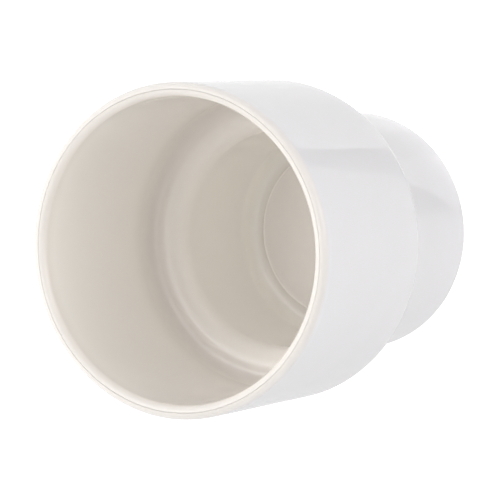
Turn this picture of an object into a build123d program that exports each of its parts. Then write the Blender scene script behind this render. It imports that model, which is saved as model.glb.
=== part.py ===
from build123d import *
import math
import os

# Stepped Buchner funnel in glazed porcelain, for 55 mm filter circles.
# Frame: millimetres, +Z up along the funnel's axis, origin at the centre of the foot ring's underside.
# The cast body is one piece. The perforated plate lies loose on a ledge in its floor,
# and a filter paper circle lies on the plate and covers the gap round it.

# ---- driving dimensions ----
MOUTH_R = 50.0             # outside of the wide chamber at the mouth
SHOULDER_R = 49.65         # outside of the wide chamber at the shoulder
SPIGOT_R = 38.2            # outside of the narrow spigot under the shoulder
WALL = 4.35                # wall thickness, and width of the full-round lip
HEIGHT = 121.0             # foot to top of lip
SHOULDER_Z = 55.15         # flat underside of the shoulder
SHOULDER_ROUND = 5.55      # outside rounding where the wide wall turns under
NECK_FILLET = 1.5          # inside corner between the spigot and the shoulder's underside
FOOT_ROUND = 3.55          # outside rounding at the foot

CHAMBER_FILLET = 4.5       # concave corner at the bottom of the wide chamber
THROAT_ROUND = 7.0         # convex edge where the wide chamber drops into the narrow one
FLOOR_R = 29.5             # flat part of the floor, wider than the paper
FLOOR_Z = 15.55            # top of the floor

PLATE_R = 25.0             # loose perforated plate
PLATE_THICK = 4.5
PLATE_EDGE = 0.7           # rounding of the plate's two outside edges
HOLE_EDGE = 0.25           # rounding where the glaze runs into each hole
PLATE_GAP = 0.3            # clearance round the plate in its recess
LEDGE_R = 22.5             # inner edge of the ledge that carries the plate
SEAT_GAP = 0.05            # gap left under each loose piece

HOLE_R = 1.0               # holes in the plate
HOLE_RING_STEP = 5.0       # radial distance between rings of holes
HOLE_RINGS = 4
HOLES_PER_RING = 6         # the first ring's holes; each further ring has this many more

PAPER_R = 27.5             # 55 mm filter circle
PAPER_THICK = 0.2

OUTLET_R = 5.0             # drain through the base
OUTLET_TOP_Z = 8.0         # low point of the collecting cone
RECESS_Z = 4.0             # underside of the base, inside the foot ring
FOOT_RING_IN_R = 29.5      # inner edge of the foot ring
RECESS_FILLET = 2.0        # corner between the foot ring and the base's underside
DRIP_R = 8.0               # outside of the drip collar round the outlet
DRIP_Z = 1.0               # lower end of the drip collar

# ---- sizes that follow ----
CHAMBER_R = MOUTH_R - WALL
BORE_R = SPIGOT_R - WALL
CHAMBER_FLOOR_Z = SHOULDER_Z + WALL
LIP_R = WALL / 2
LIP_Z = HEIGHT - LIP_R
FLOOR_FILLET = BORE_R - FLOOR_R
LEDGE_Z = FLOOR_Z - PLATE_THICK - SEAT_GAP
RECESS_R = PLATE_R + PLATE_GAP


def corner_arc(start, end, centre):
    """Quarter arc from start to end, bulging away from its centre."""
    radius = math.dist(start, centre)
    middle = ((start[0] + end[0]) / 2 - centre[0], (start[1] + end[1]) / 2 - centre[1])
    scale = radius / math.hypot(*middle)
    return ThreePointArc(start, (centre[0] + middle[0] * scale, centre[1] + middle[1] * scale), end)


def revolved(edges):
    """Solid made by turning a closed outline in the XZ plane once round Z."""
    outline = Wire([Plane.XZ * edge for edge in edges])
    return revolve(Face(outline), axis=Axis.Z, revolution_arc=360)


def outside_edges():
    """Outside of the body from the foot ring up to the lip."""
    foot_in = (SPIGOT_R - FOOT_ROUND, 0)
    foot_out = (SPIGOT_R, FOOT_ROUND)
    neck_low = (SPIGOT_R, SHOULDER_Z - NECK_FILLET)
    neck_high = (SPIGOT_R + NECK_FILLET, SHOULDER_Z)
    under_edge = (SHOULDER_R - SHOULDER_ROUND, SHOULDER_Z)
    wall_low = (SHOULDER_R, SHOULDER_Z + SHOULDER_ROUND)
    lip_out = (MOUTH_R, LIP_Z)
    return [
        Line((FOOT_RING_IN_R, 0), foot_in),
        corner_arc(foot_in, foot_out, (SPIGOT_R - FOOT_ROUND, FOOT_ROUND)),
        Line(foot_out, neck_low),
        corner_arc(neck_low, neck_high, (neck_high[0], neck_low[1])),
        Line(neck_high, under_edge),
        corner_arc(under_edge, wall_low, (under_edge[0], wall_low[1])),
        Line(wall_low, lip_out),
        ThreePointArc(lip_out, (MOUTH_R - LIP_R, HEIGHT), (CHAMBER_R, LIP_Z)),
    ]


def inside_edges():
    """Inside of the body from the lip down to the outlet."""
    chamber_low = (CHAMBER_R, CHAMBER_FLOOR_Z + CHAMBER_FILLET)
    chamber_in = (CHAMBER_R - CHAMBER_FILLET, CHAMBER_FLOOR_Z)
    throat_out = (BORE_R + THROAT_ROUND, CHAMBER_FLOOR_Z)
    throat_low = (BORE_R, CHAMBER_FLOOR_Z - THROAT_ROUND)
    bore_low = (BORE_R, FLOOR_Z + FLOOR_FILLET)
    floor_edge = (FLOOR_R, FLOOR_Z)
    return [
        Line((CHAMBER_R, LIP_Z), chamber_low),
        corner_arc(chamber_low, chamber_in, (chamber_in[0], chamber_low[1])),
        Line(chamber_in, throat_out),
        corner_arc(throat_out, throat_low, (throat_out[0], throat_low[1])),
        Line(throat_low, bore_low),
        corner_arc(bore_low, floor_edge, (FLOOR_R, bore_low[1])),
        Line(floor_edge, (RECESS_R, FLOOR_Z)),
        Line((RECESS_R, FLOOR_Z), (RECESS_R, LEDGE_Z)),
        Line((RECESS_R, LEDGE_Z), (LEDGE_R, LEDGE_Z)),
        Line((LEDGE_R, LEDGE_Z), (OUTLET_R, OUTLET_TOP_Z)),
    ]


def underside_edges():
    """Outlet, drip collar and hollow underside, back to the foot ring."""
    recess_corner = (FOOT_RING_IN_R - RECESS_FILLET, RECESS_Z)
    ring_inside = (FOOT_RING_IN_R, RECESS_Z - RECESS_FILLET)
    return [
        Line((OUTLET_R, OUTLET_TOP_Z), (OUTLET_R, DRIP_Z)),
        Line((OUTLET_R, DRIP_Z), (DRIP_R, DRIP_Z)),
        Line((DRIP_R, DRIP_Z), (DRIP_R, RECESS_Z)),
        Line((DRIP_R, RECESS_Z), recess_corner),
        corner_arc(recess_corner, ring_inside, (recess_corner[0], ring_inside[1])),
        Line(ring_inside, (FOOT_RING_IN_R, 0)),
    ]


def funnel_body():
    """One-piece cast body: lip, wide chamber, shoulder, spigot, floor, outlet and foot."""
    return revolved(outside_edges() + inside_edges() + underside_edges())


def is_hole_edge(edge):
    """True for the round edge at either end of a drain hole."""
    return edge.geom_type == GeomType.CIRCLE and math.isclose(edge.radius, HOLE_R)


def perforated_plate():
    """Loose round plate, flush with the floor, with rings of drain holes through it."""
    bottom_z = FLOOR_Z - PLATE_THICK
    disc = Pos(0, 0, bottom_z + PLATE_THICK / 2) * Cylinder(PLATE_R, PLATE_THICK)
    disc = fillet(disc.edges(), PLATE_EDGE)
    centres = [(0.0, 0.0)]
    for ring in range(1, HOLE_RINGS + 1):
        count = HOLES_PER_RING * ring
        for index in range(count):
            angle = 2 * math.pi * index / count
            ring_r = HOLE_RING_STEP * ring
            centres.append((ring_r * math.cos(angle), ring_r * math.sin(angle)))
    for x, y in centres:
        disc -= Pos(x, y, bottom_z + PLATE_THICK / 2) * Cylinder(HOLE_R, PLATE_THICK * 2)
    hole_edges = disc.edges().filter_by(is_hole_edge)
    return fillet(hole_edges, HOLE_EDGE)


def filter_paper():
    """Flat filter circle that lies on the plate and seals on the floor round it."""
    bottom_z = FLOOR_Z + SEAT_GAP
    return Pos(0, 0, bottom_z + PAPER_THICK / 2) * Cylinder(PAPER_R, PAPER_THICK)


PIECES = {
    "funnel_body": funnel_body,
    "perforated_plate": perforated_plate,
    "filter_paper": filter_paper,
}

os.makedirs("parts", exist_ok=True)
for node, make in PIECES.items():
    export_step(make(), f"parts/{node}.step")
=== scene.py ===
import math

import bpy
import numpy as np
from mathutils import Matrix, Vector


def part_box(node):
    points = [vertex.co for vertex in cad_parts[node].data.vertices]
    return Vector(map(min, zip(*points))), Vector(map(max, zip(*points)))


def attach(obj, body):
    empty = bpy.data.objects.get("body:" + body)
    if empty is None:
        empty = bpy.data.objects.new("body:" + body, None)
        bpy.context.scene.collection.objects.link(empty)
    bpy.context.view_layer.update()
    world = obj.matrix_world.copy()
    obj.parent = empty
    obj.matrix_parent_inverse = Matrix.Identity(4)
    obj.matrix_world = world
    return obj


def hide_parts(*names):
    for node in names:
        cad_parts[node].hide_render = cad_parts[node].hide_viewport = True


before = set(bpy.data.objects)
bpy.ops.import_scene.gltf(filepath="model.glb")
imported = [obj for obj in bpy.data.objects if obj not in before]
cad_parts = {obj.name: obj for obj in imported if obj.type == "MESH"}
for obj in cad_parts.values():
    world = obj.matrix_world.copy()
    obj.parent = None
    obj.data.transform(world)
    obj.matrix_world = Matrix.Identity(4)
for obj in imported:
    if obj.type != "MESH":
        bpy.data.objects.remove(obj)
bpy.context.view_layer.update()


# ---------------------------------------------------------------------------------------------
# Funnel body. One casting of hard laboratory porcelain, fettled at the lip while leather-hard,
# dipped in a clear feldspar glaze and fired standing on its foot ring, which is wiped bare.
# ---------------------------------------------------------------------------------------------

body_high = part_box("funnel_body")[1]
MOUTH_R = body_high[0]
HEIGHT = body_high[2]
SHOULDER_R = 0.04965
SPIGOT_R = 0.0382
WALL = 0.00435
SHOULDER_Z = 0.05515
CHAMBER_R = MOUTH_R - WALL
CHAMBER_FLOOR_Z = SHOULDER_Z + WALL
BORE_R = SPIGOT_R - WALL
FLOOR_Z = 0.01555
FLOOR_R = 0.0295
RECESS_R = 0.0253
LEDGE_Z = 0.0110
LEDGE_R = 0.0225
OUTLET_R = 0.005
OUTLET_TOP_Z = 0.008
DRIP_R = 0.008
DRIP_Z = 0.001
BASE_Z = 0.004
FOOT_IN_R = 0.0295

# Corners of the wall's cross-section, going round it: radius, height, rounding.
BODY_OUTLINE = (
    (FOOT_IN_R, 0.0, 0.0006),
    (SPIGOT_R, 0.0, 0.00355),
    (SPIGOT_R, SHOULDER_Z, 0.0015),
    (SHOULDER_R, SHOULDER_Z, 0.00555),
    (MOUTH_R, HEIGHT, WALL / 2),
    (CHAMBER_R, HEIGHT, WALL / 2),
    (CHAMBER_R, CHAMBER_FLOOR_Z, 0.0045),
    (BORE_R, CHAMBER_FLOOR_Z, 0.007),
    (BORE_R, FLOOR_Z, BORE_R - FLOOR_R),
    (RECESS_R, FLOOR_Z, 0.0003),
    (RECESS_R, LEDGE_Z, 0.0003),
    (LEDGE_R, LEDGE_Z, 0.0004),
    (OUTLET_R, OUTLET_TOP_Z, 0.0012),
    (OUTLET_R, DRIP_Z, 0.0004),
    (DRIP_R, DRIP_Z, 0.0008),
    (DRIP_R, BASE_Z, 0.0010),
    (FOOT_IN_R, BASE_Z, 0.002),
)
STATIONS = 320             # points round the axis
POINT_STEP = 0.002         # longest step along a straight stretch of the outline
ARC_SAG = 0.000006         # how far a chord may leave its arc
LIP_FADE = 2.5             # the inside glaze takes over within 1 / 2.5 of the wall's thickness
LIP_HOLD = 0.2             # and starts 0.2 / 2.5 of that thickness in from the outside
WIPED_HEIGHT = 0.0003      # the foot ring is wiped bare up to here
WIPED_FADE = 0.00012
FOOT_MARGIN = 0.0004       # takes in the rounded inner edge of the foot ring
BEAD_RISE = 0.0001         # roll of glaze just above the wiped foot ring
BEAD_HEIGHT = 0.0006
BEAD_WIDTH = 0.00025
CORNER_LIGHT_OFFSET = 0.0008       # painted light round the floor, out from its flat part
CORNER_LIGHT_WIDTH = 0.0014
CORNER_LIGHT_DEPTH = 0.003
SHOULDER_SHADE_REACH = 0.006       # how far the painted shade spreads from the wide chamber's corner
RIPPLE = 0.000018          # height of the slow waves that the glaze sets in
LEVEL_FOOT = 0.001         # no waves below this, so that the foot stands level
# Each wave: how many round the body, radians per metre of height, start angle, share.
GLAZE_WAVES = ((3, 90, 0.6, 1.0), (7, -170, 2.1, 0.7), (12, 310, 4.0, 0.5))


def rounded_outline(corners, point_step):
    """Points round a closed outline whose corners are rounded.

    Each corner's two sides are cut back by its radius times the tangent of half the turn. An
    arc joins the cuts: its centre lies on the normal at the first cut, one radius in, and its
    points are that centre plus the first spoke turned evenly through the corner's angle, in
    steps of the square root of eight sags over the radius. Straight stretches between arcs are
    divided evenly.
    """
    knots = np.array([corner[:2] for corner in corners])
    radii = np.array([corner[2] for corner in corners])
    into = knots - np.roll(knots, 1, axis=0)
    into /= np.linalg.norm(into, axis=1)[:, None]
    away = np.roll(into, -1, axis=0)
    turn = np.arctan2(into[:, 0] * away[:, 1] - into[:, 1] * away[:, 0], (into * away).sum(axis=1))
    start = knots - into * (radii * np.abs(np.tan(turn / 2)))[:, None]
    stretches = []
    for index in range(len(knots)):
        spoke = np.sign(turn[index]) * np.array((into[index, 1], -into[index, 0]))
        steps = max(3, math.ceil(abs(turn[index]) / math.sqrt(8 * ARC_SAG / radii[index])))
        angle = np.linspace(0, turn[index], steps + 1)
        across = spoke[0] * np.cos(angle) - spoke[1] * np.sin(angle)
        along = spoke[0] * np.sin(angle) + spoke[1] * np.cos(angle)
        arc = start[index] + radii[index] * (np.stack((across, along), axis=1) - spoke)
        run = start[(index + 1) % len(knots)] - arc[-1]
        length = np.linalg.norm(run)
        count = math.ceil(length / point_step) if length > ARC_SAG else 0
        share = np.arange(count)[:, None] / max(count, 1)
        stretches += [arc[:-1], arc[-1] + run * share]
    return np.concatenate(stretches)


def outline_normals(outline):
    """Unit normals of a closed outline, to the right of the way that it runs."""
    along = np.roll(outline, -1, axis=0) - np.roll(outline, 1, axis=0)
    along /= np.linalg.norm(along, axis=1)[:, None]
    return np.stack((along[:, 1], -along[:, 0]), axis=1)


def turned_grid(radius, height, stations):
    """Points (r cos a, r sin a, z) for outline radii and heights at evenly spaced angles a."""
    angle = np.arange(stations) * (2 * math.pi / stations)
    radius, height = radius + 0 * angle, height + 0 * angle
    return np.stack((radius * np.cos(angle), radius * np.sin(angle), height), axis=2)


def row_quads(row, next_row, columns):
    """Quads from each row of grid points to its next row, all the way round the columns."""
    column = np.arange(columns)[None, :]
    next_column = (column + 1) % columns
    corners = (
        row * columns + column,
        row * columns + next_column,
        next_row * columns + next_column,
        next_row * columns + column,
    )
    return np.stack(corners, axis=2).reshape(-1, 4)


def smooth_mesh(name, points, faces):
    """Mesh of smooth-shaded faces."""
    mesh = bpy.data.meshes.new(name)
    mesh.from_pydata(points, [], faces)
    mesh.polygons.foreach_set("use_smooth", np.ones(len(mesh.polygons), dtype=bool))
    mesh.update()
    return mesh


def closed_mesh(name, grid):
    """Mesh over a grid of points that closes on itself both ways, with no seam or pole."""
    rows, columns = grid.shape[:2]
    row = np.arange(rows)[:, None]
    return smooth_mesh(name, grid.reshape(-1, 3), row_quads(row, (row + 1) % rows, columns))


def add_object(name, mesh):
    """Puts a mesh in the scene as an object at the origin."""
    piece = bpy.data.objects.new(name, mesh)
    bpy.context.scene.collection.objects.link(piece)
    return piece


def keep_values(mesh, name, values):
    """Stores one number for each point of the mesh under a name that its material reads."""
    mesh.attributes.new(name, "FLOAT", "POINT").data.foreach_set("value", values.ravel())


def linear(hex_colour):
    """Linear RGBA of an sRGB hex colour."""
    parts = [int(hex_colour[i:i + 2], 16) / 255 for i in (1, 3, 5)]
    bent = [p / 12.92 if p <= 0.04045 else ((p + 0.055) / 1.055) ** 2.4 for p in parts]
    return (*bent, 1.0)


def new_nodes(name):
    """An empty node material and its tree."""
    material = bpy.data.materials.new(name)
    material.use_nodes = True
    material.node_tree.nodes.clear()
    return material, material.node_tree


def add_node(tree, kind, values=None, **settings):
    """Adds a node. Settings are its properties; values go to its inputs, a socket as a link."""
    node = tree.nodes.new(kind)
    for name, value in settings.items():
        setattr(node, name, value)
    for socket, value in (values or {}).items():
        if isinstance(value, bpy.types.NodeSocket):
            tree.links.new(value, node.inputs[socket])
        else:
            node.inputs[socket].default_value = value
    return node


outline = rounded_outline(BODY_OUTLINE, POINT_STEP)
facing = outline_normals(outline)
radius, height = outline[:, 0], outline[:, 1]
rank = np.arange(len(outline))
# 0 on the outside and 1 on the inside, changing over the round of the lip.
over_lip = np.clip((MOUTH_R - radius) / WALL * LIP_FADE - LIP_HOLD, 0, 1)
within = (rank > np.argmax(height)) & (rank < np.argmin(radius))
inside = np.where(height > HEIGHT - WALL / 2, over_lip, within)
# 1 on the foot ring's wiped flat, fading to 0 at the glaze's edge, with a roll of glaze above it.
on_foot = radius > FOOT_IN_R - FOOT_MARGIN
bare = np.clip((WIPED_HEIGHT - height) / WIPED_FADE, 0, 1) * on_foot
bead = np.exp(-((height - BEAD_HEIGHT) / BEAD_WIDTH) ** 2) * on_foot
# 1 along the crest of the lip, where the glaze draws thin and the creamier body shows. It fades
# over the round of the lip outside, and over twice that depth inside.
crest_depth = np.where(rank > np.argmax(height), WALL, WALL / 2)
crest = np.sqrt(np.clip(1 - (HEIGHT - height) / crest_depth, 0, 1))
# Painted light: the corner round the floor is lightened, against the shade that falls there.
floor_corner_light = within * np.exp(-(((radius - FLOOR_R - CORNER_LIGHT_OFFSET) / CORNER_LIGHT_WIDTH) ** 2))
floor_corner_light *= np.abs(height - FLOOR_Z) < CORNER_LIGHT_DEPTH
# Painted shade: the corner at the wide wall's foot is made greyer.
from_corner = np.hypot(radius - CHAMBER_R, height - CHAMBER_FLOOR_Z)
shoulder_corner_shade = within * np.exp(-((from_corner / SHOULDER_SHADE_REACH) ** 2))

spin = (np.arange(STATIONS) * (2 * math.pi / STATIONS))[None, :]
lift = height[:, None]
waves = sum(
    share * (np.sin(count * spin + climb * lift + start) - 1)
    for count, climb, start, share in GLAZE_WAVES
)
push = RIPPLE * waves * (lift > LEVEL_FOOT) + BEAD_RISE * bead[:, None]
body_grid = turned_grid(
    radius[:, None] + facing[:, :1] * push, lift + facing[:, 1:] * push, STATIONS
)
body = add_object("glazed_body", closed_mesh("glazed_body", body_grid))
surface_masks = {
    "inside": inside, "crest": crest, "bare": bare, "floor_corner_light": floor_corner_light, "shoulder_corner_shade": shoulder_corner_shade,
}
for name, values in surface_masks.items():
    keep_values(body.data, name, np.repeat(values.astype(float), STATIONS))

# Clear feldspar glaze over white porcelain: a hard, glassy surface with an IOR near 1.5 and a
# faint orange-peel, and light that enters the body and comes out a few millimetres away. It is
# cool outside and less sharp inside, where its warmer, creamier tint is painted light standing in
# for warm light bounced round the interior; corners inside carry painted light and painted shade.
# The wiped foot ring is bare porcelain, matt and close-grained.
glaze, tree = new_nodes("clear_glazed_porcelain")
PEEL_MM = 3.0              # spacing of the orange-peel, coarser than the real 1 mm so that it shows
CLOUD_MM = 25.0            # spacing of the faint clouds in the glaze
GRAIN_MM = 0.4             # grain of the bare porcelain
PEEL_DEPTH = 0.000004
GRAIN_DEPTH = 0.00004
OUTSIDE_ROUGHNESS = 0.045
INSIDE_ROUGHNESS = 0.14
BARE_ROUGHNESS = 0.8
place = add_node(tree, "ShaderNodeTexCoord").outputs["Object"]
inner = add_node(tree, "ShaderNodeAttribute", attribute_name="inside").outputs["Fac"]
thin = add_node(tree, "ShaderNodeAttribute", attribute_name="crest").outputs["Fac"]
wiped = add_node(tree, "ShaderNodeAttribute", attribute_name="bare").outputs["Fac"]
corner_light_fac = add_node(tree, "ShaderNodeAttribute", attribute_name="floor_corner_light").outputs["Fac"]
shoulder_shade_fac = add_node(tree, "ShaderNodeAttribute", attribute_name="shoulder_corner_shade").outputs["Fac"]
cloud = add_node(
    tree, "ShaderNodeTexNoise", {"Vector": place, "Scale": 1000 / CLOUD_MM, "Detail": 3.0}
).outputs["Fac"]
peel = add_node(
    tree, "ShaderNodeTexNoise", {"Vector": place, "Scale": 1000 / PEEL_MM, "Detail": 1.0}
).outputs["Fac"]
grain = add_node(
    tree, "ShaderNodeTexNoise", {"Vector": place, "Scale": 1000 / GRAIN_MM, "Detail": 4.0}
).outputs["Fac"]
outer_colour = add_node(
    tree, "ShaderNodeMixRGB",
    {"Fac": cloud, "Color1": linear("#f7f5f9"), "Color2": linear("#f5f3f7")},
).outputs["Color"]
# Painted light: the inside's warmer tint stands in for warm light bounced round the interior.
inner_colour = add_node(
    tree, "ShaderNodeMixRGB",
    {"Fac": cloud, "Color1": linear("#fcf7f1"), "Color2": linear("#fbf5ee")},
).outputs["Color"]
# Painted light: the corner round the floor is lighter than the rest of the inside.
painted_inner_colour = add_node(
    tree, "ShaderNodeMixRGB", {"Fac": corner_light_fac, "Color1": inner_colour, "Color2": linear("#fcf8f3")}
).outputs["Color"]
# Painted shade: the corner at the wide wall's foot is greyer.
painted_inner_colour = add_node(
    tree, "ShaderNodeMixRGB", {"Fac": shoulder_shade_fac, "Color1": painted_inner_colour, "Color2": linear("#e6e2de")}
).outputs["Color"]
glazed_colour = add_node(
    tree, "ShaderNodeMixRGB", {"Fac": inner, "Color1": outer_colour, "Color2": painted_inner_colour}
).outputs["Color"]
glazed_colour = add_node(
    tree, "ShaderNodeMixRGB", {"Fac": thin, "Color1": glazed_colour, "Color2": linear("#f0e9e2")}
).outputs["Color"]
biscuit = add_node(
    tree, "ShaderNodeMixRGB",
    {"Fac": grain, "Color1": linear("#e2dcd1"), "Color2": linear("#d3ccbf")},
).outputs["Color"]
colour = add_node(
    tree, "ShaderNodeMixRGB", {"Fac": wiped, "Color1": glazed_colour, "Color2": biscuit}
).outputs["Color"]
glaze_roughness = add_node(
    tree, "ShaderNodeMapRange",
    {"Value": inner, "To Min": OUTSIDE_ROUGHNESS, "To Max": INSIDE_ROUGHNESS},
).outputs["Result"]
roughness = add_node(
    tree, "ShaderNodeMapRange",
    {"Value": wiped, "To Min": glaze_roughness, "To Max": BARE_ROUGHNESS},
).outputs["Result"]
peel_bump = add_node(
    tree, "ShaderNodeBump", {"Height": peel, "Strength": 1.0, "Distance": PEEL_DEPTH}
).outputs["Normal"]
rough_height = add_node(
    tree, "ShaderNodeMath", {0: grain, 1: wiped}, operation="MULTIPLY"
).outputs["Value"]
surface = add_node(
    tree, "ShaderNodeBump",
    {"Height": rough_height, "Normal": peel_bump, "Strength": 1.0, "Distance": GRAIN_DEPTH},
).outputs["Normal"]
shader = add_node(
    tree, "ShaderNodeBsdfPrincipled",
    {"Base Color": colour, "Roughness": roughness, "IOR": 1.5, "Normal": surface,
     "Subsurface Weight": 0.45, "Subsurface Scale": 0.009, "Subsurface Radius": (1.0, 0.97, 0.94)},
)
add_node(tree, "ShaderNodeOutputMaterial", {"Surface": shader.outputs["BSDF"]})
body.data.materials.append(glaze)
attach(body, "funnel")
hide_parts("funnel_body")


# ---------------------------------------------------------------------------------------------
# Perforated plate. A pressed porcelain disc, drilled while leather-hard and glazed thinly, so
# that each hole's edge is softened; it lies loose on the ledge in the floor.
# ---------------------------------------------------------------------------------------------

plate = bpy.data.objects["perforated_plate"]
plate_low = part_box("perforated_plate")[0]
# Thin clear glaze over porcelain: glossy but not glassy, warmer than the body's, faintly mottled.
plate_glaze, tree = new_nodes("thinly_glazed_plate_porcelain")
MOTTLE_MM = 1.2            # spacing of the faint mottle where the glaze is thin
MOTTLE_DEPTH = 0.00001
PLATE_ROUGHNESS = 0.14
UNDERSIDE_ROUGHNESS = 0.75
UNDERSIDE_TOP = 0.0006     # the wiped underside fades out between these heights on the plate
UNDERSIDE_BOTTOM = 0.0002
place = add_node(tree, "ShaderNodeTexCoord").outputs["Object"]
mottle = add_node(
    tree, "ShaderNodeTexNoise", {"Vector": place, "Scale": 1000 / MOTTLE_MM, "Detail": 3.0}
).outputs["Fac"]
level = add_node(tree, "ShaderNodeSeparateXYZ", {"Vector": place}).outputs["Z"]
# The underside was wiped, because the plate was fired lying on it.
under = add_node(
    tree, "ShaderNodeMapRange",
    {"Value": level, "From Min": plate_low[2] + UNDERSIDE_TOP,
     "From Max": plate_low[2] + UNDERSIDE_BOTTOM},
).outputs["Result"]
glazed_colour = add_node(
    tree, "ShaderNodeMixRGB",
    {"Fac": mottle, "Color1": linear("#f7f4ee"), "Color2": linear("#f1ede5")},
).outputs["Color"]
colour = add_node(
    tree, "ShaderNodeMixRGB", {"Fac": under, "Color1": glazed_colour, "Color2": linear("#ded7cb")}
).outputs["Color"]
roughness = add_node(
    tree, "ShaderNodeMapRange",
    {"Value": under, "To Min": PLATE_ROUGHNESS, "To Max": UNDERSIDE_ROUGHNESS},
).outputs["Result"]
surface = add_node(
    tree, "ShaderNodeBump", {"Height": mottle, "Strength": 1.0, "Distance": MOTTLE_DEPTH}
).outputs["Normal"]
shader = add_node(
    tree, "ShaderNodeBsdfPrincipled",
    {"Base Color": colour, "Roughness": roughness, "IOR": 1.5, "Normal": surface},
)
add_node(tree, "ShaderNodeOutputMaterial", {"Surface": shader.outputs["BSDF"]})
plate.data.materials.clear()
plate.data.materials.append(plate_glaze)


# ---------------------------------------------------------------------------------------------
# Filter paper. A 55 mm circle punched from pressed cotton-linter paper and laid dry on the plate.
# The punch turns its edge up slightly; a whiter band along the edge is a painted highlight.
# ---------------------------------------------------------------------------------------------

paper_low, paper_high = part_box("filter_paper")
PAPER_R = paper_high[0]
PAPER_THICK = paper_high[2] - paper_low[2]
PAPER_STATIONS = 360
PAPER_ROWS = 90            # points from the middle to the edge on each face
ROW_CROWDING = 1.5         # draws the rings of points closer together towards the edge
EDGE_RISE = 0.0003         # height of the turned-up edge
EDGE_WIDTH = 0.0005
EDGE_STEPS = 7             # points round the cut edge, with its two corners
HIGHLIGHT_FADE = 0.25            # the painted highlight fades in over this share of the edge's width
COCKLE = 0.00002           # slow waves in the dry sheet
# Each wave: how many round the sheet, start angle, share.
COCKLE_WAVES = ((2, 0.4, 0.5), (5, 1.9, 0.5))


def disc_mesh(name, grid):
    """Mesh over rings of points, each end closed by a fan of triangles to its ring's mean point."""
    rows, columns = grid.shape[:2]
    row = np.arange(rows - 1)[:, None]
    quads = row_quads(row, row + 1, columns)
    column = np.arange(columns)
    next_column = (column + 1) % columns
    last_row = (rows - 1) * columns
    first_middle = np.full(columns, rows * columns)
    start_fan = np.stack((first_middle, next_column, column), axis=1)
    end_fan = np.stack((last_row + column, last_row + next_column, first_middle + 1), axis=1)
    middles = grid[[0, -1]].mean(axis=1)
    points = np.concatenate((grid.reshape(-1, 3), middles))
    return smooth_mesh(name, points, [*quads.tolist(), *start_fan.tolist(), *end_fan.tolist()])


share = np.linspace(0, 1, PAPER_ROWS + 1)[1:]
reach = (PAPER_R - PAPER_THICK / 2) * (1 - (1 - share) ** ROW_CROWDING)
half_turn = np.linspace(-math.pi / 2, math.pi / 2, EDGE_STEPS)[1:-1]
edge = reach[-1] + PAPER_THICK / 2 * np.cos(half_turn)
edge_height = paper_low[2] + PAPER_THICK / 2 * (1 + np.sin(half_turn))
sheet_radius = np.concatenate((reach, edge, reach[::-1]))[:, None]
sheet_height = np.concatenate(
    (np.full(PAPER_ROWS, paper_low[2]), edge_height, np.full(PAPER_ROWS, paper_high[2]))
)[:, None]
spin = (np.arange(PAPER_STATIONS) * (2 * math.pi / PAPER_STATIONS))[None, :]
rise = EDGE_RISE * np.exp((sheet_radius - PAPER_R) / EDGE_WIDTH)
cockle = (sheet_radius / PAPER_R) ** 2 * sum(
    share * (np.sin(count * spin + start) + 1) for count, start, share in COCKLE_WAVES
)
paper_grid = turned_grid(sheet_radius, sheet_height + rise + COCKLE * cockle, PAPER_STATIONS)
paper = add_object("paper_circle", disc_mesh("paper_circle", paper_grid))
edge_highlight = np.clip((sheet_radius - PAPER_R + EDGE_WIDTH) / (HIGHLIGHT_FADE * EDGE_WIDTH), 0, 1)
keep_values(paper.data, "edge_highlight", np.append(np.repeat(edge_highlight, PAPER_STATIONS), (0, 0)))

# Pressed cotton-linter paper: quite matt, white with a faint warm cloudiness, with felted fibres,
# and a painted highlight along its edge.
cotton, tree = new_nodes("pressed_cotton_paper")
FIBRE_MM = 0.5             # spacing of the felted fibres, coarser than the real 0.05 mm
FLOCK_MM = 4.0             # spacing of the cloudiness seen against the light
FIBRE_DEPTH = 0.00002
FACE_ROUGHNESS = 0.5
CUT_ROUGHNESS = 0.3
place = add_node(tree, "ShaderNodeTexCoord").outputs["Object"]
fibre = add_node(
    tree, "ShaderNodeTexNoise",
    {"Vector": place, "Scale": 1000 / FIBRE_MM, "Detail": 4.0, "Distortion": 1.5},
).outputs["Fac"]
flock = add_node(
    tree, "ShaderNodeTexNoise", {"Vector": place, "Scale": 1000 / FLOCK_MM, "Detail": 2.0}
).outputs["Fac"]
edge_highlight_fac = add_node(tree, "ShaderNodeAttribute", attribute_name="edge_highlight").outputs["Fac"]
face_colour = add_node(
    tree, "ShaderNodeMixRGB",
    {"Fac": flock, "Color1": linear("#f5f2ee"), "Color2": linear("#f2efea")},
).outputs["Color"]
# Painted highlight: the band along the edge is whiter than the face.
colour = add_node(
    tree, "ShaderNodeMixRGB",
    {"Fac": edge_highlight_fac, "Color1": face_colour, "Color2": linear("#fffcf7")},
).outputs["Color"]
roughness = add_node(
    tree, "ShaderNodeMapRange",
    {"Value": edge_highlight_fac, "To Min": FACE_ROUGHNESS, "To Max": CUT_ROUGHNESS},
).outputs["Result"]
surface = add_node(
    tree, "ShaderNodeBump", {"Height": fibre, "Strength": 1.0, "Distance": FIBRE_DEPTH}
).outputs["Normal"]
shader = add_node(
    tree, "ShaderNodeBsdfPrincipled",
    {"Base Color": colour, "Roughness": roughness, "IOR": 1.45, "Normal": surface},
)
add_node(tree, "ShaderNodeOutputMaterial", {"Surface": shader.outputs["BSDF"]})
paper.data.materials.append(cotton)
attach(paper, "paper")
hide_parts("filter_paper")


# ---------------------------------------------------------------------------------------------
# Camera. It looks steeply down into the mouth through a long lens, and is turned so that the
# funnel's axis runs across the picture.
# ---------------------------------------------------------------------------------------------

LENS_MM = 246.5
VIEW_ELEVATION = math.radians(61.07)
VIEW_ROLL = math.radians(-96.99)
FAR_CLIP = 20
# The mouth's centre in the camera's own axes, as multiples of the mouth's radius.
MOUTH_SEEN_AT = Vector((-0.439, -0.009, -20.168)) * MOUTH_R

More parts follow.
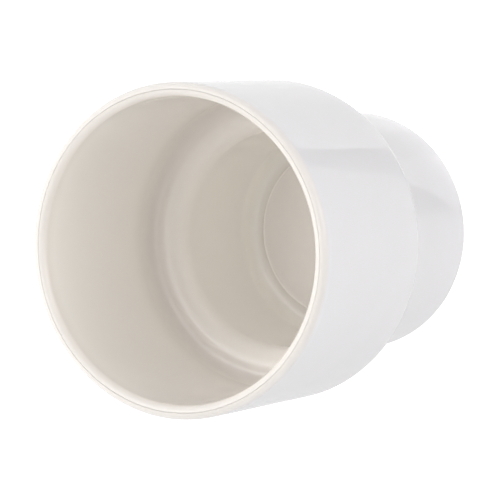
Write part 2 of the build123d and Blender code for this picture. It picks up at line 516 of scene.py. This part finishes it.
camera_right = Vector((1, 0, 0))
camera_back = Vector((0, -math.cos(VIEW_ELEVATION), math.sin(VIEW_ELEVATION)))
level_turn = Matrix((camera_right, camera_back.cross(camera_right), camera_back)).transposed()
camera_turn = level_turn @ Matrix.Rotation(VIEW_ROLL, 3, "Z")
camera_place = Vector((0, 0, HEIGHT)) - camera_turn @ MOUTH_SEEN_AT
camera_data = bpy.data.cameras.new("camera")
camera_data.lens = LENS_MM
camera_data.clip_end = FAR_CLIP
camera = bpy.data.objects.new("camera", camera_data)
camera.matrix_world = Matrix.Translation(camera_place) @ camera_turn.to_4x4()
bpy.context.scene.collection.objects.link(camera)
bpy.context.scene.camera = camera


# ---------------------------------------------------------------------------------------------
# Studio. A white floor in a pale room with soft lights, and a white card on the bench. The card's
# straight edge, with a shaded gap along it, shows in the glaze but not to the camera.
# ---------------------------------------------------------------------------------------------

ROOM_R = 6.0               # half width of the floor, and radius of the backdrop
BENCH_DROP = 0.0002        # the card lies this far under the foot ring, and the floor half as far
CARD_EDGE = -0.0415        # where the card's edge crosses the Y axis
CARD_SLOPE = -0.36         # rise of that edge along X
CARD_SIDE = 0.004          # its other edge, square to X
CARD_REACH = 0.3
GAP_WIDTH = 0.02

floor_corners = [
    (-ROOM_R, -ROOM_R, -BENCH_DROP / 2), (ROOM_R, -ROOM_R, -BENCH_DROP / 2),
    (ROOM_R, ROOM_R, -BENCH_DROP / 2), (-ROOM_R, ROOM_R, -BENCH_DROP / 2),
]
floor_mesh = bpy.data.meshes.new("floor")
floor_mesh.from_pydata(floor_corners, [], [(0, 1, 2, 3)])
floor = add_object("floor", floor_mesh)
# White vinyl sweep: quite matt, and lit so evenly that it shows nearly white.
sweep_vinyl, tree = new_nodes("matt_white_vinyl")
shader = add_node(
    tree, "ShaderNodeBsdfPrincipled",
    {"Base Color": linear("#c3c3c3"), "Roughness": 0.9,
     "Emission Color": linear("#ffffff"), "Emission Strength": 0.72},
)
add_node(tree, "ShaderNodeOutputMaterial", {"Surface": shader.outputs["BSDF"]})
floor_mesh.materials.append(sweep_vinyl)
floor.visible_diffuse = False
floor.visible_glossy = False


def lit_surface(name, points, faces, finish, strength):
    """Stage object whose faces all give off the same white light."""
    mesh = bpy.data.meshes.new(name)
    mesh.from_pydata(points, [], faces)
    surface = add_object(name, mesh)
    material, tree = new_nodes(finish)
    glow = add_node(
        tree, "ShaderNodeEmission", {"Color": linear("#ffffff"), "Strength": strength}
    )
    add_node(tree, "ShaderNodeOutputMaterial", {"Surface": glow.outputs["Emission"]})
    mesh.materials.append(material)
    return surface


card_near = CARD_EDGE + CARD_SLOPE * CARD_SIDE
card_far = CARD_EDGE + CARD_SLOPE * CARD_REACH
card_corners = [
    (CARD_SIDE, card_near, -BENCH_DROP), (CARD_REACH, card_far, -BENCH_DROP),
    (CARD_REACH, CARD_REACH, -BENCH_DROP), (CARD_SIDE, CARD_REACH, -BENCH_DROP),
]
board = lit_surface("board", card_corners, [(0, 1, 2, 3)], "lit_white_card", 1.08)
board.visible_camera = False

gap_corners = [
    (CARD_SIDE, card_near - GAP_WIDTH, -BENCH_DROP),
    (CARD_REACH, card_far - GAP_WIDTH, -BENCH_DROP),
    (CARD_REACH, card_far, -BENCH_DROP), (CARD_SIDE, card_near, -BENCH_DROP),
]
gap = lit_surface("gap", gap_corners, [(0, 1, 2, 3)], "shaded_bench_gap", 0.5)
gap.visible_camera = False

# Curved backdrop of the same white, which only closes off the view behind the object.
BACKDROP_SIDES = 64
BACKDROP_TOP = 4.0
BACKDROP_FOOT = -0.01      # it starts just under the floor
around = np.arange(BACKDROP_SIDES) * (2 * math.pi / BACKDROP_SIDES)
ring = np.stack((ROOM_R * np.cos(around), ROOM_R * np.sin(around)), axis=1)
backdrop_points = np.concatenate(
    [
        np.column_stack((ring, np.full(BACKDROP_SIDES, level)))
        for level in (BACKDROP_FOOT, BACKDROP_TOP)
    ]
)
side = np.arange(BACKDROP_SIDES)
next_side = (side + 1) % BACKDROP_SIDES
backdrop_quads = np.stack(
    (next_side, side, side + BACKDROP_SIDES, next_side + BACKDROP_SIDES), axis=1
)
backdrop = lit_surface(
    "backdrop", backdrop_points, backdrop_quads, "lit_white_backdrop_paper", 1.0
)
backdrop.visible_diffuse = False
backdrop.visible_glossy = False
backdrop.visible_transmission = False

world = bpy.data.worlds.new("studio")
bpy.context.scene.world = world
world.use_nodes = True
tree = world.node_tree
tree.nodes.clear()
FLOOR_LIGHT = 0.86         # the room's floor, seen in the glaze
ROOM_LIGHT = 0.20          # its dim walls and ceiling
HORIZON_LIGHT = 1.2        # the pale band where wall meets floor
HORIZON_SINE = 0.139       # sine of the angle at which that band has faded to 1/e
# Each soft light's azimuth, elevation, peak and tightness.
SOFT_LIGHTS = {
    "broad softbox high on the far side": (66.0, 59.0, 3.5, 9.5),
    "low light beside the camera": (280.0, 5.0, 4.6, 14.0),
    "low light across the bench": (192.0, 14.0, 1.1, 9.0),
    "ceiling light straight overhead": (90.0, 90.0, 0.9, 16.0),
    "glow of the far wall": (90.0, 15.0, 0.7, 5.0),
}

way = add_node(tree, "ShaderNodeTexCoord").outputs["Generated"]


def soft_light(azimuth, elevation, peak, tightness):
    """Round soft light on the room's wall: peak times e to the tightness times (cos - 1).

    The cosine is that of the angle from the light's middle, which stands at an azimuth from +X
    towards +Y and an elevation, both in degrees.
    """
    around, above = math.radians(azimuth), math.radians(elevation)
    middle = (
        math.cos(above) * math.cos(around), math.cos(above) * math.sin(around), math.sin(above)
    )
    cosine = add_node(tree, "ShaderNodeVectorMath", {0: way, 1: middle}, operation="DOT_PRODUCT")
    power = add_node(
        tree, "ShaderNodeMath",
        {0: cosine.outputs["Value"], 1: tightness, 2: -tightness}, operation="MULTIPLY_ADD",
    )
    falloff = add_node(tree, "ShaderNodeMath", {0: power.outputs["Value"]}, operation="EXPONENT")
    return add_node(
        tree, "ShaderNodeMath", {0: falloff.outputs["Value"], 1: peak}, operation="MULTIPLY"
    ).outputs["Value"]


rise_of_view = add_node(tree, "ShaderNodeSeparateXYZ", {"Vector": way}).outputs["Z"]
band = add_node(
    tree, "ShaderNodeMath", {0: rise_of_view, 1: 1 / HORIZON_SINE}, operation="MULTIPLY"
).outputs["Value"]
band = add_node(tree, "ShaderNodeMath", {0: band, 1: 2.0}, operation="POWER").outputs["Value"]
band = add_node(tree, "ShaderNodeMath", {0: band, 1: -1.0}, operation="MULTIPLY").outputs["Value"]
band = add_node(tree, "ShaderNodeMath", {0: band}, operation="EXPONENT").outputs["Value"]
light = add_node(
    tree, "ShaderNodeMath", {0: band, 1: HORIZON_LIGHT, 2: ROOM_LIGHT}, operation="MULTIPLY_ADD"
).outputs["Value"]
for azimuth, elevation, peak, tightness in SOFT_LIGHTS.values():
    lamp = soft_light(azimuth, elevation, peak, tightness)
    light = add_node(tree, "ShaderNodeMath", {0: light, 1: lamp}, operation="ADD").outputs["Value"]
above_floor = add_node(
    tree, "ShaderNodeMath", {0: rise_of_view, 1: 0.0}, operation="GREATER_THAN"
).outputs["Value"]
light = add_node(
    tree, "ShaderNodeMixRGB",
    {"Fac": above_floor, "Color1": (FLOOR_LIGHT, FLOOR_LIGHT, FLOOR_LIGHT, 1), "Color2": light},
).outputs["Color"]
sky = add_node(tree, "ShaderNodeBackground", {"Color": light}).outputs["Background"]
add_node(tree, "ShaderNodeOutputWorld", {"Surface": sky})
bpy.context.scene.view_settings.view_transform = "Standard"
